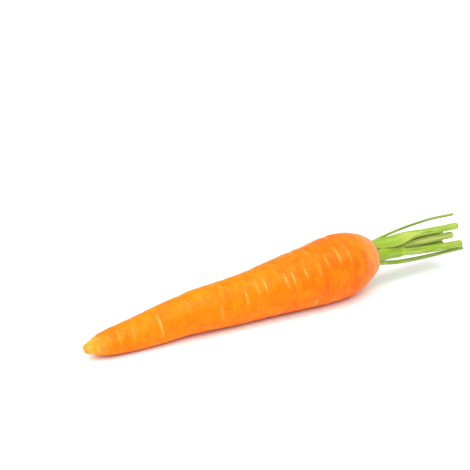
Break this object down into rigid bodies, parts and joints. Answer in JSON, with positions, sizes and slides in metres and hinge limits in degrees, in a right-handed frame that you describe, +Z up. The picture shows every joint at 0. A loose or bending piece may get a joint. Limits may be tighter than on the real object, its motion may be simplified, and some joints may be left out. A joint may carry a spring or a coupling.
{
  "type": "carrot",
  "caption": "Whole carrot lying on its side: a tapered root with shallow crosswise scars, a dished crown and leaf stalks trimmed to short stubs.",
  "frame": {"origin": "on the table, under the middle of the whole carrot's bounding box", "axes": "+X runs from the root's tip to the crown and the stalk stubs, +Z is up, and -Y is the side that the picture shows"},
  "size_m": [0.2516, 0.0378, 0.0369],
  "materials": {
    "root_skin": "washed raw carrot skin, satin",
    "leaf_stalk": "fresh green stalk, satin"
  },
  "bodies": {
    "root": {"taproot": "root_skin", "leaf_stalk_1": "leaf_stalk", "leaf_stalk_2": "leaf_stalk", "leaf_stalk_3": "leaf_stalk", "leaf_stalk_4": "leaf_stalk", "leaf_stalk_5": "leaf_stalk", "leaf_stalk_6": "leaf_stalk", "leaf_stalk_7": "leaf_stalk", "leaf_stalk_8": "leaf_stalk", "leaf_stalk_9": "leaf_stalk"}
  },
  "joints": []
}
